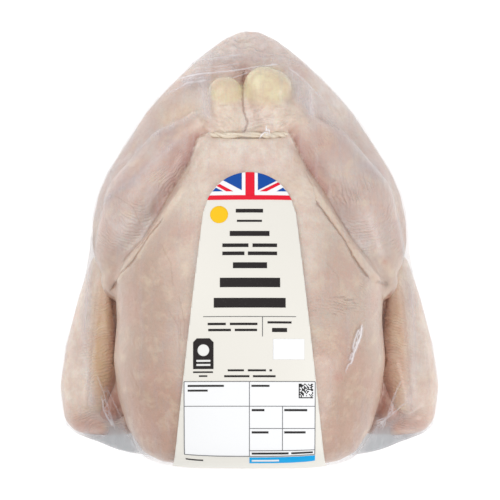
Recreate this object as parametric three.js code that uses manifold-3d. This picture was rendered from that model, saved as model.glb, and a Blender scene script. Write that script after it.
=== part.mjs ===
// A whole raw chicken sealed in a clear shrink bag, lying on its back with the breast up, with a paper label
// stuck on the bag over the breast. Millimetres, +Z up, +Y towards the tail, +X to the right with the tail away.
// The origin is the middle of the flat base. The bag and what fills it are one closed solid; the label is a thin
// sheet that follows it.

import * as THREE from "three";
import { mergeVertices } from "three/addons/utils/BufferGeometryUtils.js";
import Module from "manifold-3d";

const wasm = await Module();
wasm.setup();

// The whole pack
const PACK_LENGTH = 242;
const PACK_WIDTH = 211;
const PACK_HEIGHT = 114;
const FRONT = -PACK_LENGTH / 2;
const TAIL = PACK_LENGTH / 2;
const SIDE = PACK_WIDTH / 2;

// Cross-sections along the pack from front to tail, each [y, half-width, underside, top]. The widest line of each
// lies halfway up. Under zero the section is cut flat by the table.
const BREAST = {
  squareness: 2.35,
  sections: [
    [FRONT + 1, 34, 66, 88],
    [FRONT + 3, 48, 52, 95],
    [FRONT + 8, 58, 32, 101],
    [FRONT + 22, 66, 2, 106],
    [FRONT + 40, 72, -6, 110],
    [FRONT + 60, 75, -8, 113],
    [FRONT + 82, 74, -8, PACK_HEIGHT],
    [FRONT + 104, 72, 18, 111],
    [FRONT + 126, 55, 42, 105],
    [FRONT + 146, 42, 54, 98],
    [FRONT + 166, 31, 62, 91],
    [FRONT + 178, 25.5, 64, 84],
  ],
};
const BACK_AND_RUMP = {
  squareness: 2.2,
  sections: [
    [FRONT + 6, 48, 26, 56],
    [FRONT + 9, 69, 12, 56],
    [FRONT + 14, 83, 3, 53],
    [FRONT + 21, 100.5, -4, 51],
    [FRONT + 35, 104.2, -8, 48],
    [FRONT + 48, SIDE, -9, 47],
    [FRONT + 81, 98, -10, 48],
    [FRONT + 105, 90.8, -10, 52],
    [FRONT + 116, 89.4, -10, 56],
    [FRONT + 137, 88.5, -10, 61],
    [FRONT + 152, 85.2, -8, 65],
    [FRONT + 163, 80.2, -6, 68],
    [FRONT + 174, 73.2, -3, 71],
    [FRONT + 196, 58.3, 6, 76],
    [FRONT + 218, 37.2, 20, 70],
    [FRONT + 236, 16, 33, 54],
    [TAIL, 6, 39, 46],
  ],
};

// Legs and wings on the right side: stations of [x, y, z, radius], with how much they are flattened in z
const THIGH = [
  [38, 58, 38, 17],
  [56, 32, 38, 18],
  [63, -2, 40, 20],
];
const DRUMSTICK = [
  [62, -6, 56, 21],
  [55, 24, 61, 21],
  [36, 50, 68, 16],
  [20, 63, 73, 11.5],
];
const RIGHT_HOCK = [
  [13, 64, 73, 11],
  [10.5, 82, 76, 11.5],
];
const LEFT_HOCK = [
  [13, 64, 73, 10],
  [11.5, 77.5, 76, 9],
];
const WING = [
  [SIDE - 28, -22, 33, 13],
  [SIDE - 20.5, -58, 33, 16],
  [SIDE - 20.5, -83, 31, 16],
];
const WING_FLATTENED = 0.82;

// How softly the skin rounds over the creases between them
const SKIN_WEB = 8;

// Mesh: rings of the starting ball, and how near its surface is found
const BALL_DETAIL = 19;
const HEART = new THREE.Vector3(0, -6, 42);
const SEARCH_STEPS = 22;
const SEARCH_REACH = 1.9;
const TAUT_PASSES = 10;

// Label: a sheet with a round top, which widens towards the front and turns down over it to a straight edge
const LABEL_TOP = 35;
const LABEL_ARCH_RADIUS = 23.6;
const LABEL_ARCH_HALF_WIDTH = 22;
const LABEL_NECK = { y: 13, halfWidth: 24.2 };
const LABEL_BOTTOM = { y: FRONT - 1, halfWidth: 40.5 };
const LABEL_LOWEST = 82;
const LABEL_THICKNESS = 0.4;
const LABEL_GAP = 0.3;
const ARCH_STEPS = 16;

// The half-width, underside and top at a place along the pack, running smoothly through the sections
function sectionAt(sections, y) {
  const last = sections.length - 1;
  const at = (i) => sections[Math.min(Math.max(i, 0), last)];
  let i = 0;
  while (i < last - 1 && y > sections[i + 1][0]) i += 1;
  const [a, b, c, d] = [at(i - 1), at(i), at(i + 1), at(i + 2)];
  const span = c[0] - b[0];
  const t = (y - b[0]) / span;
  const weights = [2 * t ** 3 - 3 * t ** 2 + 1, t ** 3 - 2 * t ** 2 + t, 3 * t ** 2 - 2 * t ** 3, t ** 3 - t ** 2];
  return [1, 2, 3].map((k) => {
    const slopeIn = ((c[k] - a[k]) / (c[0] - a[0])) * span;
    const slopeOut = ((d[k] - b[k]) / (d[0] - b[0])) * span;
    return weights[0] * b[k] + weights[1] * slopeIn + weights[2] * c[k] + weights[3] * slopeOut;
  });
}

// Distance to a row of rounded cross-sections
function sectioned({ sections, squareness }) {
  const [first, last] = [sections[0][0], sections.at(-1)[0]];
  return (x, y, z) => {
    const inside = Math.min(Math.max(y, first), last);
    const [halfWidth, under, top] = sectionAt(sections, inside);
    const halfHeight = (top - under) / 2;
    const across = Math.abs(x) / halfWidth;
    const up = Math.abs(z - (top + under) / 2) / halfHeight;
    const grown = (across ** squareness + up ** squareness) ** (1 / squareness) - 1;
    const outside = grown * Math.min(halfWidth, halfHeight);
    return y === inside ? outside : Math.hypot(Math.max(outside, 0), y - inside);
  };
}

// Distance to a limb, a chain of balls with straight sides between them
function limb(stations, side = 1, flattened = 1) {
  return (x, y, z) => {
    let nearest = Infinity;
    for (let i = 0; i + 1 < stations.length; i += 1) {
      const [ax, ay, az, ar] = stations[i];
      const [bx, by, bz, br] = stations[i + 1];
      const [rx, ry, rz] = [side * (bx - ax), by - ay, bz - az];
      const [fx, fy, fz] = [x - side * ax, y - ay, z - az];
      const along = (fx * rx + fy * ry + fz * rz) / (rx * rx + ry * ry + rz * rz);
      const t = Math.min(Math.max(along, 0), 1);
      const away = Math.hypot(fx - t * rx, fy - t * ry, (fz - t * rz) * flattened);
      nearest = Math.min(nearest, away - ar - t * (br - ar));
    }
    return nearest;
  };
}

// The lesser of two distances, with a soft web where they are alike
function webbed(a, b) {
  const near = Math.max(SKIN_WEB - Math.abs(a - b), 0) / SKIN_WEB;
  return Math.min(a, b) - (near * near * SKIN_WEB) / 4;
}

const bothSides = (stations, flattened) => [limb(stations, 1, flattened), limb(stations, -1, flattened)];
const LUMPS = [
  sectioned(BACK_AND_RUMP),
  sectioned(BREAST),
  ...bothSides(THIGH),
  ...bothSides(DRUMSTICK),
  limb(RIGHT_HOCK),
  limb(LEFT_HOCK, -1),
  ...bothSides(WING, WING_FLATTENED),
];
const bird = (x, y, z) => LUMPS.map((lump) => lump(x, y, z)).reduce(webbed);

// Which points of a mesh each point is joined to
function neighboursOf(geometry) {
  const joined = Array.from({ length: geometry.getAttribute("position").count }, () => new Set());
  const corner = geometry.index.array;
  for (let i = 0; i < corner.length; i += 3) {
    for (let j = 0; j < 3; j += 1) {
      const here = corner[i + j];
      const next = corner[i + ((j + 1) % 3)];
      joined[here].add(next);
      joined[next].add(here);
    }
  }
  return joined.map((set) => [...set]);
}

// How far along a ray from the heart the bird's skin lies, in lengths of the ray
function skinAlong(ray) {
  let [inner, outer] = [0, SEARCH_REACH];
  for (let step = 0; step < SEARCH_STEPS; step += 1) {
    const middle = (inner + outer) / 2;
    const place = HEART.clone().addScaledVector(ray, middle);
    if (bird(place.x, place.y, place.z) < 0) inner = middle;
    else outer = middle;
  }
  return outer;
}

// The film: each point of a ball goes out from the heart until it meets the bird, then every pass draws it
// towards the middle of its neighbours, but never into the bird, and never below the table
function wrapped() {
  const ball = new THREE.IcosahedronGeometry(1, BALL_DETAIL);
  ball.deleteAttribute("normal");
  ball.deleteAttribute("uv");
  const film = mergeVertices(ball, 1e-5);
  const place = film.getAttribute("position");
  const joined = neighboursOf(film);
  const proportions = new THREE.Vector3(SIDE, PACK_LENGTH / 2, PACK_HEIGHT / 2);
  const rays = joined.map((_, i) => new THREE.Vector3().fromBufferAttribute(place, i).multiply(proportions));
  const table = rays.map((ray) => (ray.z < 0 ? -HEART.z / ray.z : Infinity));
  const skin = rays.map((ray, i) => Math.min(skinAlong(ray), table[i]));
  let reach = skin;
  const pointAt = (i) => HEART.clone().addScaledVector(rays[i], reach[i]);
  for (let pass = 0; pass < TAUT_PASSES; pass += 1) {
    const points = reach.map((_, i) => pointAt(i));
    reach = reach.map((_, i) => {
      const middle = new THREE.Vector3();
      joined[i].forEach((j) => middle.add(points[j]));
      middle.divideScalar(joined[i].length).sub(HEART);
      const drawn = middle.dot(rays[i]) / rays[i].lengthSq();
      return Math.min(Math.max(skin[i], drawn), table[i]);
    });
  }
  reach.forEach((_, i) => {
    const point = pointAt(i);
    place.setXYZ(i, point.x, point.y, reach[i] === table[i] ? 0 : point.z);
  });
  film.computeVertexNormals();
  return film;
}

// The same surface, moved out a little
function grown(film, distance) {
  const larger = film.clone();
  const place = larger.getAttribute("position");
  const outward = film.getAttribute("normal");
  for (let i = 0; i < place.count; i += 1) {
    place.setXYZ(
      i,
      place.getX(i) + outward.getX(i) * distance,
      place.getY(i) + outward.getY(i) * distance,
      place.getZ(i) + outward.getZ(i) * distance,
    );
  }
  return larger;
}

function solid(geometry) {
  return new wasm.Manifold(
    new wasm.Mesh({
      numProp: 3,
      vertProperties: new Float32Array(geometry.getAttribute("position").array),
      triVerts: new Uint32Array(geometry.index.array),
    }),
  );
}

function geometryOf(manifold) {
  const mesh = manifold.getMesh();
  const geometry = new THREE.BufferGeometry();
  geometry.setAttribute("position", new THREE.BufferAttribute(new Float32Array(mesh.vertProperties), 3));
  geometry.setIndex(new THREE.BufferAttribute(new Uint32Array(mesh.triVerts), 1));
  return geometry;
}

// The label's outline from above, made into an upright block that cuts it from the grown surface
function labelBlock() {
  const outline = new THREE.Shape();
  const archAngle = Math.asin(LABEL_ARCH_HALF_WIDTH / LABEL_ARCH_RADIUS);
  outline.moveTo(-LABEL_BOTTOM.halfWidth, LABEL_BOTTOM.y);
  outline.lineTo(LABEL_BOTTOM.halfWidth, LABEL_BOTTOM.y);
  outline.lineTo(LABEL_NECK.halfWidth, LABEL_NECK.y);
  for (let i = 0; i <= ARCH_STEPS; i += 1) {
    const angle = THREE.MathUtils.lerp(archAngle, -archAngle, i / ARCH_STEPS);
    outline.lineTo(
      LABEL_ARCH_RADIUS * Math.sin(angle),
      LABEL_TOP - LABEL_ARCH_RADIUS * (1 - Math.cos(angle)),
    );
  }
  outline.lineTo(-LABEL_NECK.halfWidth, LABEL_NECK.y);
  const block = new THREE.ExtrudeGeometry(outline, { depth: PACK_HEIGHT, bevelEnabled: false });
  block.translate(0, 0, LABEL_LOWEST);
  block.deleteAttribute("normal");
  block.deleteAttribute("uv");
  return solid(mergeVertices(block, 1e-4));
}

function labelOn(film) {
  const outer = solid(grown(film, LABEL_GAP + LABEL_THICKNESS));
  const inner = solid(grown(film, LABEL_GAP));
  return geometryOf(outer.intersect(labelBlock()).subtract(inner));
}

const film = wrapped();
const filmWrappedBird = new THREE.Mesh(
  film,
  new THREE.MeshStandardMaterial({ color: 0xd8c2b6, roughness: 0.3, metalness: 0 }),
);
filmWrappedBird.name = "film_bag";

const paperLabel = new THREE.Mesh(
  labelOn(film),
  new THREE.MeshStandardMaterial({ color: 0xf5f1e9, roughness: 0.45, metalness: 0 }),
);
paperLabel.name = "label";

const chickenPack = new THREE.Group();
chickenPack.add(filmWrappedBird, paperLabel);

export default chickenPack;
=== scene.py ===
# A whole raw chicken on its back with its legs tied, sealed in clear shrink film, with a paper label over the
# breast. Sizes are millimetres in the frame of the CAD model, with +Z up and +Y towards the tail, and become
# metres when a piece is put in the scene.
import math

import bmesh
import bpy
import numpy as np
from mathutils import Matrix, Vector
from mathutils.bvhtree import BVHTree


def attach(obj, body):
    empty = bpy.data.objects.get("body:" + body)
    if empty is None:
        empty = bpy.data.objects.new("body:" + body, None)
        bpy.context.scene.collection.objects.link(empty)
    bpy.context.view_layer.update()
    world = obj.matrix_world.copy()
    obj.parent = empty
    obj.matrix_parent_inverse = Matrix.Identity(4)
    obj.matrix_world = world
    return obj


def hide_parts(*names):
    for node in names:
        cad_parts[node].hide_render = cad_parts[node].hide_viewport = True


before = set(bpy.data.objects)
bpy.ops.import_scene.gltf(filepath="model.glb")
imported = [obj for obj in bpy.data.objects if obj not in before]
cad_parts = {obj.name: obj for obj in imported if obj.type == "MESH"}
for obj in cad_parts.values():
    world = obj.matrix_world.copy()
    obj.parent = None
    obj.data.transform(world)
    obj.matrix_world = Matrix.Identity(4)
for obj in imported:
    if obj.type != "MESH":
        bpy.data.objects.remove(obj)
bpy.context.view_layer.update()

# Camera: a long lens over the breast, tipped a little towards the front end of the bird, so that the tail is
# at the top of the picture. It sees a square of a little more than the pack's length.
MM = 0.001
CAMERA_DISTANCE = 1100
CAMERA_TIP = math.radians(5)
CAMERA_AIM = Vector((0.3, -1.65, 45))
SEEN_WIDTH = 275
SEEN_DEPTH = 10000
SENSOR_WIDTH = 36

camera_data = bpy.data.cameras.new("camera")
camera_data.sensor_width = SENSOR_WIDTH
camera_data.lens = SENSOR_WIDTH * CAMERA_DISTANCE / SEEN_WIDTH
camera_data.clip_end = SEEN_DEPTH * MM
camera = bpy.data.objects.new("camera", camera_data)
back_to_camera = Vector((0, -math.sin(CAMERA_TIP), math.cos(CAMERA_TIP)))
camera.location = (CAMERA_AIM + back_to_camera * CAMERA_DISTANCE) * MM
camera.rotation_euler = (CAMERA_TIP, 0, 0)
bpy.context.scene.collection.objects.link(camera)
bpy.context.scene.camera = camera
bpy.context.scene.view_settings.view_transform = "Standard"

# Table and light: a plain white table with a little light of its own, a pale room, and two large soft lamps,
# the stronger one over the left leg.
TABLE_WIDTH = 3000
LAMPS = {
    "key_lamp": {"place": (-620, 420, 900), "width": 800, "watts": 4.6, "colour": (1.0, 0.985, 0.97)},
    "fill_lamp": {"place": (640, -420, 760), "width": 500, "watts": 3.6, "colour": (1.0, 0.99, 0.985)},
}
ROOM_COLOUR = (0.95, 0.97, 1.0, 1.0)
ROOM_STRENGTH = 0.68


def put_in_scene(name, mesh_maker, smooth=True):
    """Turns a bmesh in millimetres into an object in metres, at the origin."""
    bmesh.ops.scale(mesh_maker, vec=(MM, MM, MM), verts=mesh_maker.verts)
    mesh = bpy.data.meshes.new(name)
    mesh_maker.to_mesh(mesh)
    mesh_maker.free()
    if smooth:
        mesh.shade_smooth()
    piece = bpy.data.objects.new(name, mesh)
    bpy.context.scene.collection.objects.link(piece)
    return piece


def node_adder(tree):
    """A function that adds a node to a node tree with its inputs filled."""

    def add(kind, inputs=None, **settings):
        node = tree.nodes.new(kind)
        for key, value in settings.items():
            setattr(node, key, value)
        for key, value in (inputs or {}).items():
            if isinstance(value, bpy.types.NodeSocket):
                tree.links.new(value, node.inputs[key])
            else:
                node.inputs[key].default_value = value
        return node

    return add


def new_material(name):
    """An empty node material and the function that adds nodes to it."""
    material = bpy.data.materials.new(name)
    material.use_nodes = True
    material.node_tree.nodes.clear()
    return material, node_adder(material.node_tree)


table_maker = bmesh.new()
bmesh.ops.create_grid(table_maker, x_segments=2, y_segments=2, size=TABLE_WIDTH / 2)
table = put_in_scene("table", table_maker, smooth=False)
table_material, add = new_material("white table")
surface = add("ShaderNodeBsdfPrincipled", {
    "Base Color": (0.86, 0.86, 0.86, 1),
    "Roughness": 0.9,
    "Emission Color": (1, 1, 1, 1),
    "Emission Strength": 0.36,
})
add("ShaderNodeOutputMaterial", {"Surface": surface.outputs["BSDF"]})
table.data.materials.append(table_material)

for name, lamp in LAMPS.items():
    light = bpy.data.lights.new(name, "AREA")
    light.shape = "DISK"
    light.size = lamp["width"] * MM
    light.energy = lamp["watts"]
    light.color = lamp["colour"]
    holder = bpy.data.objects.new(name, light)
    holder.location = Vector(lamp["place"]) * MM
    holder.rotation_euler = (CAMERA_AIM - Vector(lamp["place"])).to_track_quat("-Z", "Y").to_euler()
    bpy.context.scene.collection.objects.link(holder)

room = bpy.data.worlds.new("room")
room.use_nodes = True
room.node_tree.nodes["Background"].inputs["Color"].default_value = ROOM_COLOUR
room.node_tree.nodes["Background"].inputs["Strength"].default_value = ROOM_STRENGTH
bpy.context.scene.world = room

# Bird: one plump skin over breast, back, thighs, drumsticks and hocks. Rows of rounded sections and limbs of
# balls are merged into one mesh and softened. The belly skin overhangs the legs where it folds over them.
BREAST_SQUARENESS = 2.35
BREAST = [  # y, middle, half-width, underside, top
    (-119.0, 0, 32, 66, 86),
    (-117.0, 0, 46, 52, 93),
    (-112.0, 0, 56.5, 32, 99.5),
    (-98.5, 0, 66, 4, 104.8),
    (-82, 0, 71, 2, 109),
    (-62, 0, 73.4, 1, 112),
    (-42, 0, 71.7, 0, 113),
    (-31, 0, 72.2, 2, 112),
    (-20, 0, 72, 14, 110.3),
    (-9.5, -1.2, 66, 30, 108),
    (1, -1.2, 56.5, 42, 105),
    (12, -0.9, 49.2, 49, 101.5),
    (28, -0.7, 39.6, 55, 96),
    (39, -1, 32.3, 60, 92),
    (45, -1.5, 29.6, 64, 90),
    (51, -2.2, 27, 65, 87),
    (56, -1.5, 25, 66, 84.2),
]
BACK_SQUARENESS = 2.2
BACK = [
    (-113, 0, 36, 30, 60),
    (-107, 0, 54, 14, 56),
    (-100, 0, 70, 5, 46),
    (-94, 0, 82, 0, 40),
    (-80, 0, 84, -6, 38),
    (-60, 0, 78, -9, 46),
    (-34, 0, 75, -9.5, 50),
    (-20, 0, 79, -9.5, 52),
    (-8, 0, 86, -9.5, 54.5),
    (4, 0, 88.2, -9.5, 56.8),
    (16, 0, 87.7, -9.5, 60),
    (31, 0, 84.4, -7.5, 63),
    (42, 0, 79.4, -5.5, 65),
    (53, 0, 72.4, -2.5, 68),
    (75, 0, 57.5, 6.5, 70),
    (86, 0, 47.6, 13, 68.5),
    (97, 0, 36.4, 20.5, 65),
    (107, 0, 25.5, 27.5, 59),
    (115, 0, 15.2, 33.5, 53),
    (119.8, 0, 6, 38.5, 47),
]
THIGH = [(36, 60, 40, 17.5), (56, 33, 40, 22), (64, 1, 40, 21.5)]
DRUMSTICK = [(63.5, -3.5, 52, 21), (57.5, 23, 58.5, 21.2), (41, 47, 65, 17.3), (25, 60, 70, 12.5)]
RIGHT_HOCK = [(11.5, 57, 69.5, 12.3), (10.5, 70, 72.5, 12.4), (7.5, 84.5, 75, 10.6)]
RIGHT_KNOB = [(7.5, 84.5, 75, 10.6), (13.2, 83, 75, 10)]
LEFT_HOCK = [(-12.8, 57, 69.5, 12.3), (-13.2, 69, 72.5, 10.8), (-13, 80, 75, 9.6)]
BETWEEN_HOCKS = [(-0.5, 54, 71, 9.5), (-1.6, 66, 73.5, 8), (-3, 76, 75, 4.5)]
BESIDE_KNOB = [(25, 61, 69, 11.5), (25.5, 79, 64, 9.5)]
FLANK_WEB = [(62, -9, 64, 11), (69, -19, 54, 12)]
ARMPIT = [(74, -70, 40, 7.5), (76.5, -90, 38, 9)]
SECTION_STEP = 2.5
SECTION_POINTS = 80
LIMB_POINTS = 40
BALL_FINENESS = 3
FLOOR = 0.6
VOXEL = 1.3
SOFTENING = 5


def add_sections(bird, rows, squareness):
    """A closed body of rounded sections, bridged ring to ring."""
    sections = np.array(rows, float)
    first, last = rows[0][0], rows[-1][0]
    rings = []
    for y in np.linspace(first, last, round((last - first) / SECTION_STEP) + 1):
        middle, half_width, under, top = (np.interp(y, sections[:, 0], column) for column in sections.T[1:])
        ring = bmesh.ops.create_circle(bird, segments=SECTION_POINTS, radius=1)["verts"]
        for vert in ring:
            across = math.copysign(abs(vert.co.x) ** (2 / squareness), vert.co.x)
            up = math.copysign(abs(vert.co.y) ** (2 / squareness), vert.co.y)
            vert.co = (middle + half_width * across, y, (top + under) / 2 + (top - under) / 2 * up)
        rings.append(list({edge for vert in ring for edge in vert.link_edges}))
    for ring, following in zip(rings, rings[1:]):
        bmesh.ops.bridge_loops(bird, edges=ring + following)
    for end in (rings[0], rings[-1]):
        bmesh.ops.edgeloop_fill(bird, edges=end)


def add_limb(bird, stations, side=1):
    """A limb of balls, with a cone between each two."""
    balls = [(Vector((side * x, y, z)), radius) for x, y, z, radius in stations]
    for middle, radius in balls:
        place = Matrix.Translation(middle)
        bmesh.ops.create_icosphere(bird, subdivisions=BALL_FINENESS, radius=radius, matrix=place)
    for (start, start_radius), (end, end_radius) in zip(balls, balls[1:]):
        run = end - start
        place = Matrix.Translation((start + end) / 2) @ run.to_track_quat("Z", "Y").to_matrix().to_4x4()
        bmesh.ops.create_cone(bird, cap_ends=True, segments=LIMB_POINTS, radius1=start_radius,
                              radius2=end_radius, depth=run.length, matrix=place)


def mesh_of(piece):
    """A piece's mesh with its modifiers worked in."""
    graph = bpy.context.evaluated_depsgraph_get()
    return bpy.data.meshes.new_from_object(piece.evaluated_get(graph))


def soft_remesh(piece, voxel, softening):
    """Merges the piece into one even mesh and softens its joins."""
    remesh = piece.modifiers.new("merge", "REMESH")
    remesh.mode = "VOXEL"
    remesh.voxel_size = voxel * MM
    smooth = piece.modifiers.new("soften", "SMOOTH")
    smooth.iterations = softening
    even = mesh_of(piece)
    piece.modifiers.clear()
    piece.data = even
    even.shade_smooth()


def places_of(mesh):
    """Where a mesh's points are, in millimetres, and which way its skin faces there."""
    places = np.empty(len(mesh.vertices) * 3)
    mesh.vertices.foreach_get("co", places)
    facing = np.empty(len(mesh.vertices) * 3)
    mesh.vertices.foreach_get("normal", facing)
    return places.reshape(-1, 3) / MM, facing.reshape(-1, 3)


def move_to(mesh, places):
    """Moves a mesh's points to these places, in millimetres."""
    mesh.vertices.foreach_set("co", (places * MM).ravel())
    mesh.update()


def off_path(places, path):
    """How far each place is from a path seen from above, less than nothing on the path's right."""
    flat = places[:, :2]
    nearest = np.full(len(flat), np.inf)
    signed = np.zeros(len(flat))
    for start, end in zip(path, path[1:]):
        start, end = np.array(start, float), np.array(end, float)
        run = end - start
        share = np.clip((flat - start) @ run / (run @ run), 0, 1)
        away = flat - start - share[:, None] * run
        distance = np.linalg.norm(away, axis=1)
        side = np.where(run[0] * away[:, 1] - run[1] * away[:, 0] < 0, -1, 1)
        closer = distance < nearest
        signed[closer] = (distance * side)[closer]
        nearest[closer] = distance[closer]
    return signed


def near(places, path, width):
    """One on a path seen from above, falling to nothing at a few widths from it."""
    return np.exp(-((off_path(places, path) / width) ** 2))


def spot(places, centre, radii, turned, softness):
    """One inside an oval seen from above, turned by some degrees, fading over its rim."""
    angle = math.radians(turned)
    x = places[:, 0] - centre[0]
    y = places[:, 1] - centre[1]
    along = (x * math.cos(angle) + y * math.sin(angle)) / radii[0]
    across = (-x * math.sin(angle) + y * math.cos(angle)) / radii[1]
    reach = np.hypot(along, across)
    return np.clip((1 + softness / 2 - reach) / softness, 0, 1)


bird_maker = bmesh.new()
add_sections(bird_maker, BREAST, BREAST_SQUARENESS)
add_sections(bird_maker, BACK, BACK_SQUARENESS)
for side in (1, -1):
    for stations in (THIGH, DRUMSTICK, FLANK_WEB, ARMPIT):
        add_limb(bird_maker, stations, side)
for stations in (RIGHT_HOCK, RIGHT_KNOB, LEFT_HOCK, BETWEEN_HOCKS, BESIDE_KNOB):
    add_limb(bird_maker, stations)
bird = put_in_scene("bird", bird_maker)
soft_remesh(bird, VOXEL, SOFTENING)

# Folds of the skin: the belly skin ends in a rim over each leg, with a hollow of the leg outside it. A seam
# parts the two hocks, and the tie bites a groove.
LEFT_FOLD = [(-24, 57.5), (-28.3, 54.7), (-30.3, 47.6), (-33, 40.4), (-39.5, 30.5), (-47, 18), (-52, 9),
             (-57.5, 0.6), (-67, -9.5), (-72, -21)]
RIGHT_FOLD = [(22, 58), (24, 54), (26.5, 47.6), (32, 37.7), (40.5, 26), (47.2, 13.6), (54.6, 1.4),
              (64.2, -10), (72.2, -19.6)]
LEFT_HOLLOW = [(-31, 55.5), (-34, 48), (-37, 41), (-43.5, 31), (-51.5, 17), (-61, 2.5), (-70, -6)]
RIGHT_HOLLOW = [(27, 55), (30, 48.5), (36, 39), (44.5, 28), (51.5, 16), (58.5, 4), (67.5, -7)]
LEFT_RIM = [(-35.5, 26.5), (-46.5, 10.5), (-55.5, -1.5), (-63, -11), (-70, -20)]
RIGHT_RIM = [(33.5, 27), (43, 12.5), (52, -1.5), (59.5, -12), (67.5, -20.5)]
LEFT_CREASE = [(-47, 9.5), (-53.4, 1.6), (-60.2, -9.5), (-63, -13.2), (-68.5, -17), (-74, -24)]
RIGHT_CREASE = [(36, 19), (43, 9.5), (49.5, 0.6), (54.8, -9.6), (58.3, -14.6), (62, -19)]
HOCK_SEAM = [(-3, 93), (-3.5, 83), (-3.7, 77), (-3.1, 70), (-0.9, 63.5), (-2.4, 59)]
TIE_GROOVE = [(-24, 57.5), (-11, 56.5), (11, 56.5), (23, 58)]
HOCK_RIDGES = [[(21.5, 60.5), (28, 65.5), (37, 71.5)], [(-23, 61), (-27, 66), (-31, 70)],
               [(3, 66.5), (22, 73)], [(3, 62), (23, 66)]]
SKIN_RELIEF = [  # path, height, width
    (LEFT_HOLLOW, -0.9, 3.4),
    (RIGHT_HOLLOW, -0.9, 3.4),
    (LEFT_RIM, 1.3, 1.9),
    (RIGHT_RIM, 1.5, 2.2),
    (LEFT_CREASE, -1.1, 1.0),
    (RIGHT_CREASE, -1.2, 1.0),
    (HOCK_SEAM, -1.1, 1.1),
    (TIE_GROOVE, -1.6, 1.8),
    *((path, 0.7, 1.1) for path in HOCK_RIDGES),
]
RISE_OF_UPWARD = 3


def upward_share(facing):
    """One where a skin faces up, falling to nothing where it stands upright."""
    return np.clip(facing[:, 2] * RISE_OF_UPWARD, 0, 1)


places, facing = places_of(bird.data)
push = np.zeros(len(places))
for path, height, width in SKIN_RELIEF:
    push += height * near(places, path, width)
places += facing * (push * upward_share(facing))[:, None]
places[:, 2] = np.maximum(places[:, 2], FLOOR)
move_to(bird.data, places)

# Wings: each is a folded forearm outside an upper arm, tucked close under the breast, with its end turned in
# at the front. They are pieces of their own, so that a crisp dark crevice stays between wing and breast.
FOREARM = [(80.5, -10, 28, 8.8), (85.5, -30, 28, 10.2), (90.5, -55, 28, 11.4), (93.3, -76, 28, 11.6),
           (92, -90, 28, 11)]
UPPER_ARM = [(77.5, -20, 35, 8), (78, -44, 37.5, 10), (78.5, -62, 37.5, 10.2), (84, -83, 34, 10)]
WING_END = [(91, -92.5, 30, 9.8), (81, -95, 32, 8.4), (68, -96, 32, 7)]
WING_VOXEL = 1.1
WING_SOFTENING = 16
WING_MIDDLE_HEIGHT = 28
WING_DEEPENED = 1.42
WING_GROOVE = [(83.5, -24), (85.5, -50), (87.5, -76), (88, -88)]
WING_GROOVE_DEPTH = 0.3
WING_GROOVE_WIDTH = 1.6
WING_EDGE = [(75.8, -22), (74.2, -32), (72, -42), (72.4, -54), (73.6, -64)]

wings = {}
for name, side in (("left_wing", -1), ("right_wing", 1)):
    wing_maker = bmesh.new()
    for stations in (FOREARM, UPPER_ARM, WING_END):
        add_limb(wing_maker, stations, side)
    wing = put_in_scene(name, wing_maker)
    soft_remesh(wing, WING_VOXEL, WING_SOFTENING)
    places, facing = places_of(wing.data)
    groove = near(places, [(side * x, y) for x, y in WING_GROOVE], WING_GROOVE_WIDTH)
    places += facing * (-WING_GROOVE_DEPTH * groove * upward_share(facing))[:, None]
    places[:, 2] = WING_MIDDLE_HEIGHT + (places[:, 2] - WING_MIDDLE_HEIGHT) * WING_DEEPENED
    move_to(wing.data, places)
    wings[side] = wing

# Skin: thin, wet and pale over pink flesh and yellow at the scraped hocks. Painted shade makes it dark pink
# in the hollows under the belly's rims, brown in the crevices beside the wings and along the creases, dark
# red in the gaps behind the wings' ends and in the vent, and grey-pink on the low sides. Its colours are
# painted on each mesh by these places, then mottled.
BELLY = (0.78, 0.67, 0.56)
PALE_BELLY = (0.90, 0.80, 0.71)
BREAST_SKIN = (0.555, 0.44, 0.355)
FRONT_SKIN = (0.43, 0.235, 0.145)
LEG_SKIN = (0.60, 0.50, 0.445)
PALE_LEG = (0.80, 0.71, 0.65)
FLANK_SHADE = (0.40, 0.36, 0.33)
LILAC = (0.46, 0.40, 0.43)
TAIL_SKIN = (0.77, 0.67, 0.61)
FLUSH_AND_SHADE = (0.48, 0.22, 0.17)
FOLD_SHADOW = (0.34, 0.13, 0.09)
GAP_SHADE_RED = (0.40, 0.155, 0.095)
CREVICE_SHADE_BROWN = (0.27, 0.095, 0.04)
TAN = (0.56, 0.335, 0.155)
WING_SKIN = (0.84, 0.725, 0.61)
HOCK_YELLOW = (0.80, 0.71, 0.43)
HOCK_SKIN = (0.82, 0.69, 0.56)
FAT = (0.74, 0.54, 0.37)
RIM = (0.78, 0.65, 0.51)
SPOT_RED = (0.45, 0.10, 0.08)
SIDE_FALL = 0.5
FLANK_SHADE_TOP = 50
CAVITY_TOP = 72
CREVICE_TOP = 60
GAP_TOP = 56
CREVICE_SHADE_AMOUNT = 0.85
OUTER_WING = 88


def tinted(colour, amount, tint):
    """The skin's colours with a tint laid over them, as thickly as the amount says."""
    amount = np.clip(amount, 0, 1)[:, None]
    return colour * (1 - amount) + np.array(tint) * amount


def side_share(facing):
    """One where a skin stands upright or faces down, falling to nothing where it faces up."""
    return np.clip(1 - facing[:, 2] / SIDE_FALL, 0, 1)


def keep(mesh, name, values):
    """Keeps a number or a colour for each point of a mesh, for its material to read."""
    if values.ndim == 2:
        painted = mesh.color_attributes.new(name, "FLOAT_COLOR", "POINT")
        painted.data.foreach_set("color", np.column_stack([values, np.ones(len(values))]).ravel())
    else:
        field = mesh.attributes.new(name, "FLOAT", "POINT")
        field.data.foreach_set("value", values)


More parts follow.
